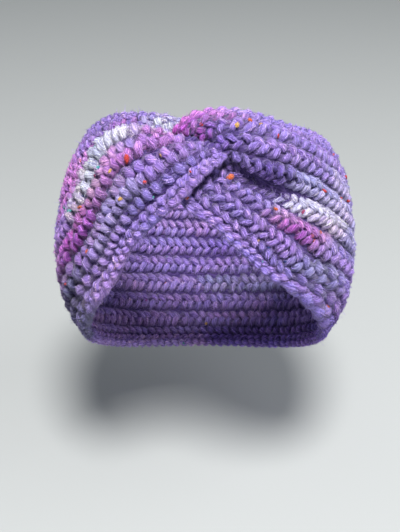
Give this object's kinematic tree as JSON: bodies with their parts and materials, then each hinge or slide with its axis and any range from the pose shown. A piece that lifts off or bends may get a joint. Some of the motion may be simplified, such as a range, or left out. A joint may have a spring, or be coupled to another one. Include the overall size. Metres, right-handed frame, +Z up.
{
  "type": "ear warmer headband",
  "caption": "Wide crocheted headband with raised ribs and a crossed twist at the front, shaped as worn round a head to cover the ears.",
  "frame": {"origin": "centre of the head opening, half way between the band's edges, where a head holds it", "axes": "+Z up for a head held upright, -Y to the face, +X to the right of the picture; the loop is tipped so that the twist sits above the brow and the back sits low on the neck"},
  "size_m": [0.1786, 0.1903, 0.1899],
  "materials": {
    "band_yarn": "soft heathered lavender tweed yarn with pink and white stretches and bright flecks, matt",
    "end_seam_yarn": "the same soft yarn, sewn through the ends, matt"
  },
  "bodies": {
    "root": {"band": "band_yarn", "end_seam": "end_seam_yarn"}
  },
  "joints": []
}
